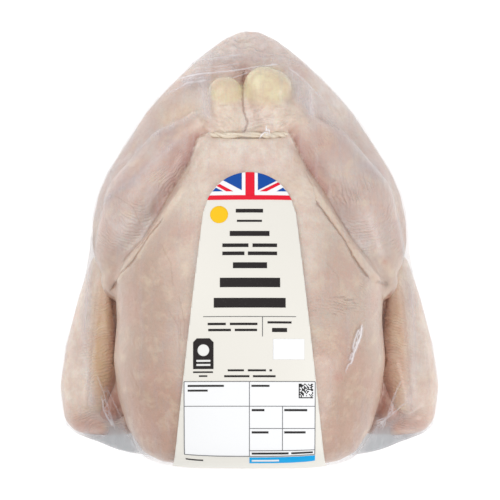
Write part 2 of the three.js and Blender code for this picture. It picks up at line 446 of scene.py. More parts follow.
places, facing = places_of(bird.data)
colour = np.tile(np.array(BREAST_SKIN), (len(places), 1))
over_left_leg = off_path(places, LEFT_FOLD) < 0
over_right_leg = off_path(places, RIGHT_FOLD) > 0
for amount, tint in (  # one tint after another, in an oval or along a path: how thickly, and which
    (1.0 * spot(places, (0, 45), (44, 62), 0, 0.7), BELLY),
    (0.65 * spot(places, (3, 46), (20, 14), 0, 0.9), PALE_BELLY),
    (0.4 * spot(places, (28, -8), (9, 32), 0, 0.9), PALE_BELLY),
    (0.3 * spot(places, (-36, -60), (7, 20), 0, 0.9), PALE_BELLY),
    (0.95 * spot(places, (-58, 30), (34, 70), 35, 0.4) * over_left_leg, LEG_SKIN),
    (0.95 * spot(places, (58, 30), (34, 70), -35, 0.4) * over_right_leg, LEG_SKIN),
    (0.8 * spot(places, (-62, 6), (13, 10), -30, 0.9) * over_left_leg, PALE_LEG),
    (0.35 * spot(places, (-47, 27), (8, 9), 0, 0.9) * over_left_leg, PALE_LEG),
    (0.7 * spot(places, (60, 2), (9, 11), 0, 0.9) * over_right_leg, PALE_LEG),
    (0.8 * spot(places, (41, 78), (14, 17), 0, 0.9), PALE_LEG),
    (0.35 * spot(places, (68, 41), (8, 6), 0, 0.9), LILAC),
    (0.3 * spot(places, (-66, 33), (12, 5), 35, 0.9), LILAC),
    (0.38 * spot(places, (-52, -30), (22, 30), 0, 0.9), FRONT_SKIN),
    (0.25 * spot(places, (-34, 4), (14, 7), -40, 0.9), FLUSH_AND_SHADE),
    (0.65 * spot(places, (-48, -98), (30, 34), 0, 0.9), FRONT_SKIN),
    (0.6 * spot(places, (56, -94), (30, 36), 0, 0.9), FRONT_SKIN),
    (0.9 * spot(places, (0, 104), (52, 26), 0, 0.7), TAIL_SKIN),
    # Painted shadow under the belly's rims: dark pink on each leg along the fold, fading outwards, over the
    # skin's own flush.
    (0.48 * spot(places, (-38, 43), (8, 15), 20, 0.9) * over_left_leg, FLUSH_AND_SHADE),
    (0.3 * spot(places, (34, 44), (8, 17), -25, 0.9) * over_right_leg, FLUSH_AND_SHADE),
    (0.85 * near(places, LEFT_FOLD[:6], 5.5) * over_left_leg, FLUSH_AND_SHADE),
    (0.85 * near(places, RIGHT_FOLD[:5], 5.5) * over_right_leg, FLUSH_AND_SHADE),
    (0.7 * near(places, LEFT_FOLD[1:5], 2.6) * over_left_leg, FOLD_SHADOW),
    (0.7 * near(places, RIGHT_FOLD[1:4], 2.6) * over_right_leg, FOLD_SHADOW),
    # Painted shade: grey-pink low on the sides, where the skin stands upright or faces down.
    (0.6 * side_share(facing) * (places[:, 2] < FLANK_SHADE_TOP), FLANK_SHADE),
    (0.7 * near(places, LEFT_RIM, 2.0), RIM),
    (0.7 * near(places, RIGHT_RIM, 2.4), RIM),
    (0.85 * spot(places, (0, 67), (27, 13), 0, 0.5), HOCK_SKIN),
    (0.6 * spot(places, (6, 66), (8, 7), 0, 0.9), PALE_BELLY),
    (0.85 * spot(places, (-12.4, 82), (10, 8.5), 0, 0.35), HOCK_YELLOW),
    (0.85 * spot(places, (9, 85), (14, 12.5), 0, 0.35), HOCK_YELLOW),
    (0.6 * spot(places, (-39, 70), (10, 6), 30, 0.8), FAT),
    # Red flesh in the vent between the hocks, with painted shade low in its hollow.
    (0.85 * spot(places, (-3, 92), (6, 5.5), 0, 0.6) * (places[:, 2] < CAVITY_TOP), GAP_SHADE_RED),
    (0.8 * spot(places, (72.6, -10.3), (1.3, 0.9), 0, 0.9), SPOT_RED),
    (0.3 * spot(places, (46, -73), (2.4, 2), 0, 0.9), SPOT_RED),
):
    colour = tinted(colour, amount, tint)
for side in (-1, 1):
    # Painted shade: brown low on the breast's side, in the crevice beside each wing.
    crevice_shade = spot(places, (side * 75, -36), (3.5, 20), 0, 0.6) * (places[:, 2] < CREVICE_TOP)
    colour = tinted(colour, CREVICE_SHADE_AMOUNT * crevice_shade, CREVICE_SHADE_BROWN)
    # Painted shade: dark red low in the deep gap behind each wing's end.
    gap_shade = spot(places, (side * 76, -86), (11, 13), 0, 0.6) * (places[:, 2] < GAP_TOP)
    colour = tinted(colour, CREVICE_SHADE_AMOUNT * gap_shade, GAP_SHADE_RED)
keep(bird.data, "skin_colour", colour)

FAN_SPREAD = 13


def fan_of(places, point):
    """How far round a point each place is, so that waves of it fan out from there."""
    return FAN_SPREAD * np.arctan2(places[:, 1] - point[1], places[:, 0] - point[0])


# Wrinkles run in families: rings round each knee, waves on the right leg, and bands across the skin at the
# hocks. Each row gives how far a place is through the family's waves, in millimetres, and how strong they are
# there. A place takes its strongest family, less the next, so that no hard line shows where two meet.
across = places[:, 0]
along = places[:, 1]
PAST_FOLD = 0.5
off_belly = np.where(across < 0, -off_path(places, LEFT_FOLD), off_path(places, RIGHT_FOLD)) > PAST_FOLD
WRINKLES = [
    (np.hypot(across + 58, along - 24), 0.32 * spot(places, (-67, 4), (21, 24), 20, 0.9) * off_belly),
    (np.hypot(across - 58, along - 24), 0.35 * spot(places, (68, 2), (19, 20), 0, 0.9) * off_belly),
    (across * 0.8 + along * 0.2, 0.6 * spot(places, (59, 28), (12, 12), 0, 0.9)),
    (fan_of(places, (-72, -22)), 0.35 * spot(places, (-72, -12), (8, 9), 0, 0.9)),
    (fan_of(places, (74, -22)), 0.35 * spot(places, (73, -13), (8, 9), 0, 0.9)),
    (along * 0.6 + across * 0.35, 0.4 * spot(places, (-14, 64), (9, 7), 0, 0.7)),
    (along * 0.62 - across * 0.22, 0.45 * spot(places, (9, 66), (14, 8), 0, 0.7)),
    (along + 0.08 * across, 0.45 * spot(places, (49, -36), (14, 3.5), 0, 0.9)),
    (across * 0.55 + along * 0.85, 0.4 * spot(places, (57, -29), (7, 6), 0, 0.9)),
    (across * 0.8 + along * 0.55, 0.35 * spot(places, (40, 60), (9, 14), -30, 0.9)),
    (across * 0.7 - along * 0.7, 0.25 * spot(places, (-44, 40), (12, 18), -40, 0.9) * off_belly),
    (along * 0.42 + across * 0.05, 0.9 * spot(places, (0, 104), (30, 14), 0, 0.9)),
]
wave_place = np.zeros(len(places))
wave_strength = np.zeros(len(places))
next_strength = np.zeros(len(places))
for family_place, family_strength in WRINKLES:
    stronger = family_strength > wave_strength
    next_strength = np.where(stronger, wave_strength, np.maximum(next_strength, family_strength))
    wave_place[stronger] = family_place[stronger]
    wave_strength[stronger] = family_strength[stronger]
keep(bird.data, "wave_place", wave_place)
keep(bird.data, "wave_strength", wave_strength - next_strength)

LINE_REACH = 2.6
LINE_FADE = 1.2


def keep_lines(mesh, places, lines):
    """Keeps how many widths each place is off its nearest line, and how strong that line is there."""
    off_line = np.zeros(len(places))
    strength = np.zeros(len(places))
    nearest = np.full(len(places), np.inf)
    for path, width, line_strength in lines:
        off = off_path(places, path)
        closer = np.abs(off) < nearest
        nearest[closer] = np.abs(off)[closer]
        off_line[closer] = (off / width)[closer]
        fading = np.clip((LINE_REACH - np.abs(off)) / LINE_FADE, 0, 1)
        strength[closer] = (line_strength * fading)[closer]
    keep(mesh, "off_line", off_line)
    keep(mesh, "line_strength", strength)


# Thin brown lines: painted shade down the creases inside the rims, along the rims' own edges over the legs
# and in the seam of the hocks, and the colour of a few faint veins.
SKIN_LINES = [  # path, width, darkness
    (LEFT_CREASE, 0.5, 0.6),
    (RIGHT_CREASE, 0.5, 0.6),
    (LEFT_FOLD[:-1], 0.6, 0.4),
    (RIGHT_FOLD[:-1], 0.6, 0.4),
    (HOCK_SEAM, 0.5, 0.55),
    ([(-36, -34), (-33.5, -45), (-34, -52)], 0.4, 0.16),
    ([(-41, -40), (-37, -47), (-36, -60)], 0.35, 0.12),
    ([(-62, -70), (-58, -78), (-57, -90)], 0.35, 0.12),
    ([(-45, -6), (-41, -14), (-40, -24)], 0.35, 0.14),
    ([(41, -14), (46, -20), (47, -27)], 0.35, 0.12),
    ([(-71, 24), (-62, 18), (-58, 9)], 0.35, 0.14),
    ([(30, 36), (33.5, 29), (35, 23)], 0.4, 0.14),
]
keep_lines(bird.data, places, SKIN_LINES)

for side, wing in wings.items():
    places, facing = places_of(wing.data)
    colour = np.tile(np.array(WING_SKIN), (len(places), 1))
    for amount, tint in (
        (0.9 * spot(places, (side * 78.5, -54), (8, 38), 0, 0.8), TAN),
        # Painted shade: brown at the upper arm's inner edge, in the crevice against the breast.
        (0.8 * spot(places, (side * 73, -36), (3.4, 20), 0, 0.8), CREVICE_SHADE_BROWN),
        (0.45 * spot(places, (side * 74, -62), (3, 16), 0, 0.9), FLUSH_AND_SHADE),
        (0.4 * spot(places, (side * 82, -96), (24, 10), 0, 0.9), FRONT_SKIN),
        (0.55 * spot(places, (side * 82, -99), (22, 6), 0, 0.9), FLUSH_AND_SHADE),
        (0.3 * spot(places, (92, -66), (10, 34), 0, 0.9), LEG_SKIN),
        # Painted shade: dark red at the wing's inner side, by the gap behind its end.
        (0.85 * spot(places, (side * 73, -83), (5, 9), 0, 0.8), GAP_SHADE_RED),
        # Painted shade: grey-pink on the wing's outer side, where it stands upright or faces down.
        (0.3 * side_share(facing) * (np.abs(places[:, 0]) > OUTER_WING), FLANK_SHADE),
    ):
        colour = tinted(colour, amount, tint)
    keep(wing.data, "skin_colour", colour)
    at_end = 0.5 * spot(places, (side * 82, -96), (14, 9), 0, 0.9)
    on_arm = 0.3 * spot(places, (side * 81, -54), (10, 34), 0, 0.9)
    keep(wing.data, "wave_place", places[:, 1] + 0.3 * side * places[:, 0])
    keep(wing.data, "wave_strength", np.maximum(at_end, on_arm))
    keep_lines(wing.data, places, [
        # Painted shade: a faint dark line down the wing's groove, and a darker one along its inner edge in
        # the crevice.
        ([(side * x, y) for x, y in WING_GROOVE], 0.8, 0.2),
        ([(side * x, y) for x, y in WING_EDGE], 1.0, 0.6),
    ])


def mixed(add, amount, under, over):
    """One colour laid over another in a material, as thickly as the amount says."""
    return add("ShaderNodeMix", {0: amount, 6: under, 7: over}, data_type="RGBA").outputs[2]


def worked(add, operation, *values, **settings):
    """The outcome of one step of arithmetic in a node tree."""
    return add("ShaderNodeMath", dict(enumerate(values)), operation=operation, **settings).outputs[0]


# Skin and film both show thin lines with ragged edges, so these are one node group. It takes what keep_lines
# kept, and puts out how much of a line there is.
NOISE_MIDDLE = 0.5
ragged_line =bpy.data.node_groups.new("ragged line", "ShaderNodeTree")
ragged_line.interface.new_socket("Place", in_out="INPUT", socket_type="NodeSocketVector")
for socket in ("Off Line", "Strength", "Grain", "Raggedness"):
    ragged_line.interface.new_socket(socket, in_out="INPUT", socket_type="NodeSocketFloat")
ragged_line.interface.new_socket("Line", in_out="OUTPUT", socket_type="NodeSocketFloat")
add = node_adder(ragged_line)
given = add("NodeGroupInput").outputs
ragged = add("ShaderNodeTexNoise", {"Vector": given["Place"], "Scale": given["Grain"], "Detail": 3})
uneven = worked(add, "SUBTRACT", ragged.outputs["Fac"], NOISE_MIDDLE)
off_ragged = worked(add, "MULTIPLY_ADD", uneven, given["Raggedness"], given["Off Line"])
squared = worked(add, "MULTIPLY", off_ragged, off_ragged)
on_line = worked(add, "EXPONENT", worked(add, "MULTIPLY", squared, -1.0))
line = worked(add, "MULTIPLY", on_line, given["Strength"], use_clamp=True)
add("NodeGroupOutput", {"Line": line})


def line_in(add, where, grain, raggedness):
    """The ragged line of a material, from what its mesh keeps."""
    off_line = add("ShaderNodeAttribute", attribute_name="off_line").outputs["Fac"]
    strength = add("ShaderNodeAttribute", attribute_name="line_strength").outputs["Fac"]
    kept = {"Place": where, "Off Line": off_line, "Strength": strength}
    return add("ShaderNodeGroup", {**kept, "Grain": grain, "Raggedness": raggedness},
               node_tree=ragged_line).outputs["Line"]


# The skin's material: pink blotches, paler spots of fat and a fine red speckle over the painted colours, with
# painted shade in the troughs of the wrinkles, and the thin lines darker and pressed in.
PINK_BLOTCH = (0.58, 0.34, 0.27, 1)
FAT_BLOTCH = (0.80, 0.67, 0.48, 1)
SPECKLE = (0.60, 0.37, 0.28, 1)
WRINKLE_SHADE = (0.32, 0.18, 0.13, 1)
LINE_SHADE_AND_VEIN_BROWN = (0.33, 0.13, 0.045, 1)
WAVE_LENGTH = 1.7
WAVE_WANDER = 5.5
FOLLICLE_DEPTH = 0.5
GRAIN_HEIGHT = 0.8
LINE_DEPTH = 2.5

skin, add = new_material("raw skin")
where = add("ShaderNodeTexCoord").outputs["Object"]
skin_tone = add("ShaderNodeAttribute", attribute_name="skin_colour").outputs["Color"]
for pattern, low, high, most, tint in (
    ({"Scale": 45, "Detail": 3, "Roughness": 0.55}, 0.42, 0.66, 0.42, PINK_BLOTCH),
    ({"Scale": 105, "Detail": 5, "Roughness": 0.65, "Distortion": 0.4}, 0.5, 0.7, 0.42, FAT_BLOTCH),
    ({"Scale": 240, "Detail": 6, "Roughness": 0.72}, 0.42, 0.72, 0.5, SPECKLE),
):
    blotches = add("ShaderNodeTexNoise", {"Vector": where, **pattern})
    amount = add("ShaderNodeMapRange", {
        "Value": blotches.outputs["Fac"], "From Min": low, "From Max": high, "To Min": 0.0, "To Max": most,
    })
    skin_tone = mixed(add, amount.outputs["Result"], skin_tone, tint)

wave_place = add("ShaderNodeAttribute", attribute_name="wave_place").outputs["Fac"]
wave_strength = add("ShaderNodeAttribute", attribute_name="wave_strength").outputs["Fac"]
wander = add("ShaderNodeTexNoise", {"Vector": where, "Scale": 110, "Detail": 2})
wandering = worked(add, "MULTIPLY_ADD", wander.outputs["Fac"], WAVE_WANDER, wave_place)
wave = worked(add, "SINE", worked(add, "MULTIPLY", wandering, 2 * math.pi / WAVE_LENGTH))
patchy = add("ShaderNodeTexNoise", {"Vector": where, "Scale": 95, "Detail": 2})
patches = add("ShaderNodeMapRange", {
    "Value": patchy.outputs["Fac"], "From Min": 0.38, "From Max": 0.58, "To Min": 0.15, "To Max": 1.0,
})
patched_wave = worked(add, "MULTIPLY", wave, patches.outputs["Result"])
wrinkle = worked(add, "MULTIPLY", patched_wave, wave_strength)
line = line_in(add, where, grain=420, raggedness=2.4)

shadowed = add("ShaderNodeMapRange", {
    "Value": wrinkle, "From Min": -1.0, "From Max": 0.2, "To Min": 0.2, "To Max": 0.0,
})
skin_tone = mixed(add, shadowed.outputs["Result"], skin_tone, WRINKLE_SHADE)
# Painted shade down the creases, the rims' edges and the hocks' seam, and the veins' own colour.
skin_tone = mixed(add, line, skin_tone, LINE_SHADE_AND_VEIN_BROWN)
follicles = add("ShaderNodeTexVoronoi", {"Vector": where, "Scale": 430, "Randomness": 0.8})
grain = add("ShaderNodeTexNoise", {"Vector": where, "Scale": 650, "Detail": 4, "Roughness": 0.6})
relief = worked(add, "MULTIPLY_ADD", follicles.outputs["Distance"], -FOLLICLE_DEPTH, grain.outputs["Fac"])
relief = worked(add, "MULTIPLY_ADD", relief, GRAIN_HEIGHT, wrinkle)
relief = worked(add, "MULTIPLY_ADD", line, -LINE_DEPTH, relief)
bump = add("ShaderNodeBump", {"Height": relief, "Strength": 0.75, "Distance": 0.0006})
surface = add("ShaderNodeBsdfPrincipled", {
    "Base Color": skin_tone,
    "Roughness": 0.42,
    "Subsurface Weight": 0.2,
    "Subsurface Radius": (1.0, 0.45, 0.3),
    "Subsurface Scale": 0.002,
    "Coat Weight": 0.45,
    "Coat Roughness": 0.2,
    "Normal": bump.outputs["Normal"],
})
add("ShaderNodeOutputMaterial", {"Surface": surface.outputs["BSDF"]})
for piece in (bird, *wings.values()):
    piece.data.materials.append(skin)
    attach(piece, "root")
    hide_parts("film_bag")

# Leg tie: a cream elastic of two strands twisted together, round both hocks in a groove of the skin. Each
# strand is a thick curve on a rounded loop, and winds about the other one.
TIE_MIDDLE = Vector((-0.8, 57, 70.2))
TIE_HALF_WIDTH = 24.6
TIE_HALF_HEIGHT = 12.6
TIE_SQUARENESS = 2.7
TIE_STRAND_RADIUS = 1.05
TIE_STRAND_OFFSET = 0.6 * TIE_STRAND_RADIUS
TIE_TWISTS = 11
TIE_POINTS = 360
TWIST_UNEVENNESS = 0.8
TIE_SWAY = 0.5
TIE_WAVER = 0.25
STRAND_SWELL = 0.16
STRAND_UNEVENNESS = 0.1
ELASTIC_DARK = (0.74, 0.62, 0.46, 1)
ELASTIC_PALE = (0.86, 0.77, 0.62, 1)

tie_curve = bpy.data.curves.new("leg_tie", "CURVE")
tie_curve.dimensions = "3D"
tie_curve.bevel_depth = TIE_STRAND_RADIUS * MM
tie_curve.bevel_resolution = 3
tie_curve.use_fill_caps = True
for strand in (0, 1):
    spline = tie_curve.splines.new("POLY")
    spline.points.add(TIE_POINTS - 1)
    spline.use_cyclic_u = True
    for i in range(TIE_POINTS):
        turn = 2 * math.pi * i / TIE_POINTS
        outward = Vector((math.cos(turn), 0, math.sin(turn)))
        twist = TIE_TWISTS * turn + strand * math.pi + TWIST_UNEVENNESS * math.sin(5 * turn)
        loop_x = math.copysign(abs(outward.x) ** (2 / TIE_SQUARENESS), outward.x)
        loop_z = math.copysign(abs(outward.z) ** (2 / TIE_SQUARENESS), outward.z)
        middle = TIE_MIDDLE + Vector((TIE_HALF_WIDTH * loop_x, 0, TIE_HALF_HEIGHT * loop_z))
        middle.y += TIE_SWAY * math.cos(2 * turn) + TIE_WAVER * math.sin(9 * turn)
        off = (outward * math.cos(twist) + Vector((0, 1, 0)) * math.sin(twist)) * TIE_STRAND_OFFSET
        swell = STRAND_SWELL * math.sin(7 * turn + strand) + STRAND_UNEVENNESS * math.sin(17 * turn)
        spline.points[i].co = (*((middle + off) * MM), 1)
        spline.points[i].radius = 1 + swell
tie_shape = bpy.data.objects.new("leg_tie_shape", tie_curve)
bpy.context.scene.collection.objects.link(tie_shape)
tie = bpy.data.objects.new("leg_tie", mesh_of(tie_shape))
bpy.context.scene.collection.objects.link(tie)
bpy.data.objects.remove(tie_shape)
tie.data.shade_smooth()

# Elastic, paper and ink all show a fine grain of fibres, so this is one node group. It puts out how pale each
# place is, and which way the grain turns the surface.
fibre_grain = bpy.data.node_groups.new("fibre grain", "ShaderNodeTree")
fibre_grain.interface.new_socket("Place", in_out="INPUT", socket_type="NodeSocketVector")
for socket in ("Scale", "Detail", "Relief", "Height"):
    fibre_grain.interface.new_socket(socket, in_out="INPUT", socket_type="NodeSocketFloat")
fibre_grain.interface.new_socket("Paleness", in_out="OUTPUT", socket_type="NodeSocketFloat")
fibre_grain.interface.new_socket("Normal", in_out="OUTPUT", socket_type="NodeSocketVector")
add = node_adder(fibre_grain)
given = add("NodeGroupInput").outputs
fibres = add("ShaderNodeTexNoise", {
    "Vector": given["Place"], "Scale": given["Scale"], "Detail": given["Detail"],
})
bump = add("ShaderNodeBump", {
    "Height": fibres.outputs["Fac"], "Strength": given["Relief"], "Distance": given["Height"],
})
add("NodeGroupOutput", {"Paleness": fibres.outputs["Fac"], "Normal": bump.outputs["Normal"]})


def fibres_in(add, scale, detail, relief, height):
    """The fibre grain of a material, with its height in millimetres."""
    where = add("ShaderNodeTexCoord").outputs["Object"]
    grain = {"Place": where, "Scale": scale, "Detail": detail, "Relief": relief, "Height": height * MM}
    return add("ShaderNodeGroup", grain, node_tree=fibre_grain).outputs


elastic, add = new_material("cream elastic")
fibres = fibres_in(add, scale=1500, detail=3, relief=0.4, height=0.3)
surface = add("ShaderNodeBsdfPrincipled", {
    "Base Color": mixed(add, fibres["Paleness"], ELASTIC_DARK, ELASTIC_PALE),
    "Roughness": 0.35,
    "Coat Weight": 0.6,
    "Coat Roughness": 0.12,
    "Normal": fibres["Normal"],
})
add("ShaderNodeOutputMaterial", {"Surface": surface.outputs["BSDF"]})
tie.data.materials.clear()
tie.data.materials.append(elastic)
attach(tie, "root")
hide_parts("film_bag")

# Film: one sealed skin of clear plastic shrunk over bird and tie. It starts from the CAD solid and is lifted
# clear of what it holds. It is milky over hollows and along its stretch folds, grey with painted shade and
# reflection in the webs at the front, and white with painted glints in a few places.
FILM_VOXEL = 1.5
FILM_SOFTENING = 4
FILM_CLEARANCE = 0.4
FILM_FLOOR = 0.02
SAME_PLACE = 1e-6
FOLD_HEIGHT = 0.3
FILM_FOLDS = [  # paths of soft milky streaks, with width and milkiness
    ([(-24, 70), (-48, 60), (-63.5, 49), (-76, 42)], 2.4, 0.20),
    ([(-38, 53), (-53.7, 41), (-63.5, 31), (-78, 24)], 2.0, 0.20),
    ([(-66, 58), (-78, 38), (-84, 20)], 3.0, 0.12),
    ([(-29, 92), (-34, 88)], 3.4, 0.36),
    ([(-26, 90), (-24, 80), (-23.5, 68)], 2.8, 0.42),
    ([(24.5, 92), (27, 80), (33, 70)], 3.0, 0.34),
    ([(-30, 101), (0, 102.5), (26, 99)], 3.6, 0.16),
    ([(21, 89), (38, 72), (54, 52), (70, 34)], 3.6, 0.17),
    ([(28, 90), (46, 68), (58, 52)], 1.6, 0.14),
    ([(80, 12), (84, -6)], 3.0, 0.12),
    ([(-89, 6), (-89.5, -30), (-89, -64), (-86, -84)], 2.4, 0.26),
    ([(88, -12), (88.5, -30), (89, -70), (87, -86)], 2.4, 0.22),
]
FILM_LINES = [  # paths of thin white lines, with width and whiteness
    ([(-38, 91), (-24, 92.5), (-10, 93), (4, 95), (14, 97)], 0.55, 0.5),
    ([(-30, 96.5), (-18, 96), (-6, 97.5)], 0.4, 0.3),
    ([(-10, 88), (-2, 91), (6, 95)], 0.4, 0.35),
    ([(-44, 83), (-33, 87.5), (-24, 88)], 0.6, 0.3),
    ([(-38, 103), (-22, 101), (-6, 103)], 0.4, 0.25),
    ([(22, 95), (30, 88), (38, 80)], 0.5, 0.3),
    ([(-82, -72), (-77, -86), (-73.5, -98)], 0.4, 0.28),
    ([(-77, -78), (-71, -90), (-67, -97)], 0.4, 0.2),
    ([(-80, -82), (-79, -90), (-75, -97)], 0.5, 0.4),
    ([(82, -74), (77.5, -84), (73, -98)], 0.4, 0.28),
    ([(79, -80), (77, -90), (71, -97)], 0.5, 0.4),
    ([(84, -86), (76, -93), (70, -95)], 0.4, 0.3),
    # Painted glints: white strokes on the crinkled film over the right of the breast.
    ([(58.8, -46.5), (57.5, -52.5), (56, -56)], 0.7, 0.75),
    ([(56.6, -48.5), (54.8, -53.5), (53.8, -58)], 0.6, 0.6),
    ([(55.6, -57.5), (54, -61), (52.8, -65.5)], 0.7, 0.7),
    ([(53.2, -60), (52, -64)], 0.5, 0.5),
    ([(51, -67), (50.3, -69)], 0.5, 0.45),
    # Painted glints on the film over the tie.
    ([(6, 55.3), (7.7, 57.2)], 0.5, 0.8),
    ([(8.7, 57.2), (9.1, 59.6)], 0.5, 0.8),
    ([(10.4, 57.4), (10.7, 59.4)], 0.4, 0.7),
]
FILM_LINE_HEIGHT = 0.4
FILM_LINE_RIDGE = 1.2
BRIDGED_FROM = 1.2
BRIDGED_OVER = 7
FRONT_WEBS = [((-77, -109), (21, 13), -25), ((77, -109), (21, 13), 25)]
WEB_SOFTNESS = 0.8
WEBBED_FROM = 0.8
WEBBED_OVER = 2
WING_CREVICE = [(74, -16), (75.5, -44), (74.5, -64), (74, -84), (76, -94)]
CREVICE_WIDTH = 8
CREVICE_CLEARNESS = 0.95

film_maker = bmesh.new()
film_maker.from_mesh(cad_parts["film_bag"].data)
bmesh.ops.remove_doubles(film_maker, verts=film_maker.verts, dist=SAME_PLACE)
bmesh.ops.scale(film_maker, vec=(1 / MM, 1 / MM, 1 / MM), verts=film_maker.verts)
film = put_in_scene("film", film_maker)
soft_remesh(film, FILM_VOXEL, FILM_SOFTENING)


def surface_of(pieces):
    """The joined surface of some pieces, for finding what is nearest on it."""
    corners = []
    faces = []
    for piece in pieces:
        first = len(corners)
        corners += [vert.co for vert in piece.data.vertices]
        faces += [[first + index for index in face.vertices] for face in piece.data.polygons]
    return BVHTree.FromPolygons(corners, faces)


def lift_clear(places, contents, clearance):
    """Lifts each place of the film that is too near to what it holds, and says how far off all are."""
    lifted = places.copy()
    gaps = np.empty(len(places))
    for i, place in enumerate(places):
        nearest, outward, _, distance = contents.find_nearest(Vector(place * MM))
        off = (Vector(place * MM) - nearest).dot(outward)
        gaps[i] = math.copysign(distance, off) / MM
        if gaps[i] < clearance:
            lifted[i] = np.array(nearest + outward * clearance * MM) / MM
    return lifted, gaps


places, facing = places_of(film.data)
places, gaps = lift_clear(places, surface_of([bird, tie, *wings.values()]), FILM_CLEARANCE)
places[:, 2] = np.maximum(places[:, 2], FILM_FLOOR)
move_to(film.data, places)

# The label keeps to the film as it is here, before the folds.
label_base = surface_of([film])

places, facing = places_of(film.data)
streaks = np.zeros(len(places))
push = np.zeros(len(places))
for path, width, milkiness in FILM_FOLDS:
    fold = near(places, path, width)
    push += FOLD_HEIGHT * fold
    streaks = np.maximum(streaks, milkiness * fold)
for path, width, whiteness in FILM_LINES:
    push += FILM_LINE_HEIGHT * whiteness * near(places, path, FILM_LINE_RIDGE)
keep(film.data, "streaks", streaks)
keep_lines(film.data, places, FILM_LINES)
keep(film.data, "bridged", np.clip((gaps - BRIDGED_FROM) / BRIDGED_OVER, 0, 1))
webs = np.maximum(*(spot(places, *web, WEB_SOFTNESS) for web in FRONT_WEBS))
keep(film.data, "webs", webs * np.clip((gaps - WEBBED_FROM) / WEBBED_OVER, 0, 1))
crevices = np.maximum(*(near(places, [(side * x, y) for x, y in WING_CREVICE], CREVICE_WIDTH)
                        for side in wings))
keep(film.data, "clearness", 1 - CREVICE_CLEARNESS * crevices)
places += facing * (push * upward_share(facing))[:, None]
move_to(film.data, places)

MILK = (0.68, 0.63, 0.66, 1)
WEB_SHADE_GREY = (0.47, 0.49, 0.51, 1)
RIM_GREY = (0.36, 0.36, 0.36, 1)
CREASE_WHITE_AND_GLINT = (0.95, 0.92, 0.92, 1)
PLAIN_HAZE = 0.03
BRIDGE_HAZE = 0.1
RIM_HAZE = 0.22
WEB_HAZE = 0.5
STREAK_CONTRAST = 2.0

clear_film, add = new_material("clear film")
where = add("ShaderNodeTexCoord").outputs["Object"]
streaks, bridged, webs, clearness = (add("ShaderNodeAttribute", attribute_name=name).outputs["Fac"]
                                     for name in ("streaks", "bridged", "webs", "clearness"))
line = line_in(add, where, grain=260, raggedness=2.0)
lengthwise = add("ShaderNodeMapping", {"Vector": where, "Scale": (260, 26, 60)})
tension = add("ShaderNodeTexNoise", {
    "Vector": lengthwise.outputs["Vector"], "Scale": 1, "Detail": 4, "Roughness": 0.65,
})
tension_lines = add("ShaderNodeMapRange", {
    "Value": tension.outputs["Fac"], "From Min": 0.5, "From Max": 0.75, "To Min": 0.0, "To Max": 0.2,
})
streaked = worked(add, "MULTIPLY", streaks, worked(add, "MULTIPLY", tension.outputs["Fac"], STREAK_CONTRAST))
rim = add("ShaderNodeLayerWeight", {"Blend": 0.15}).outputs["Facing"]
haze = worked(add, "MULTIPLY_ADD", bridged, BRIDGE_HAZE, tension_lines.outputs["Result"])
haze = worked(add, "ADD", haze, streaked)
haze = worked(add, "MULTIPLY_ADD", rim, RIM_HAZE, haze)
haze = worked(add, "MULTIPLY", haze, clearness)
haze = worked(add, "MULTIPLY_ADD", webs, WEB_HAZE, haze)
haze = worked(add, "ADD", haze, line)
haze = worked(add, "ADD", haze, PLAIN_HAZE, use_clamp=True)
# Painted shade and reflection: the webs at the front are a darker grey.
milk = mixed(add, webs, MILK, WEB_SHADE_GREY)
milk = mixed(add, rim, milk, RIM_GREY)
surface = add("ShaderNodeBsdfPrincipled", {
    "Base Color": mixed(add, line, milk, CREASE_WHITE_AND_GLINT),
    "Roughness": 0.14,
    "Specular IOR Level": 0.35,
    "Alpha": haze,
})
add("ShaderNodeOutputMaterial", {"Surface": surface.outputs["BSDF"]})
film.data.materials.clear()
film.data.materials.append(clear_film)
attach(film, "root")
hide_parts("film_bag")

# Label: one sheet of cream coated paper stuck to the film, with a round top. It is drawn flat, in millimetres
# across and along the bird, then laid down on the film and turned over the blunt front of the breast.
PAPER_LIFT = 0.15
PAPER_THICKNESS = 0.2
PAPER_STEP = 1.0
LABEL_TOP = 35
ARCH_RADIUS = 23.6
ARCH_HALF_WIDTH = 22
ARCH_POINTS = 40
NECK = (24.2, 13)
TURN_START = -108
TURN_HEIGHT = 85
TURN_RADIUS = 14
LABEL_END = (40.4, -129)
CORNER_DROP = 3.5
ABOVE_PACK = 200
BEFORE_PACK = 100
SAME_CUT = 1e-4
LEANS_FORWARD = -0.5
PAPER_CREAM = (0.80, 0.77, 0.70, 1)


def on_label(x, y, lift):
    """The place on the film under a place of the flat label, lifted off it."""
    if y > TURN_START:
        source, ray = Vector((x, y, ABOVE_PACK)), Vector((0, 0, -1))
    else:
        past_turn = (TURN_START - y) / (TURN_START - LABEL_END[1])
        turn = (TURN_START - y + CORNER_DROP * past_turn * (x / LABEL_END[0]) ** 2) / TURN_RADIUS
        ray = Vector((0, math.sin(turn), -math.cos(turn)))
        source = Vector((x, TURN_START, TURN_HEIGHT)) - ray * BEFORE_PACK
    hit, outward, _, _ = label_base.ray_cast(source * MM, ray)
    return hit / MM + outward * lift


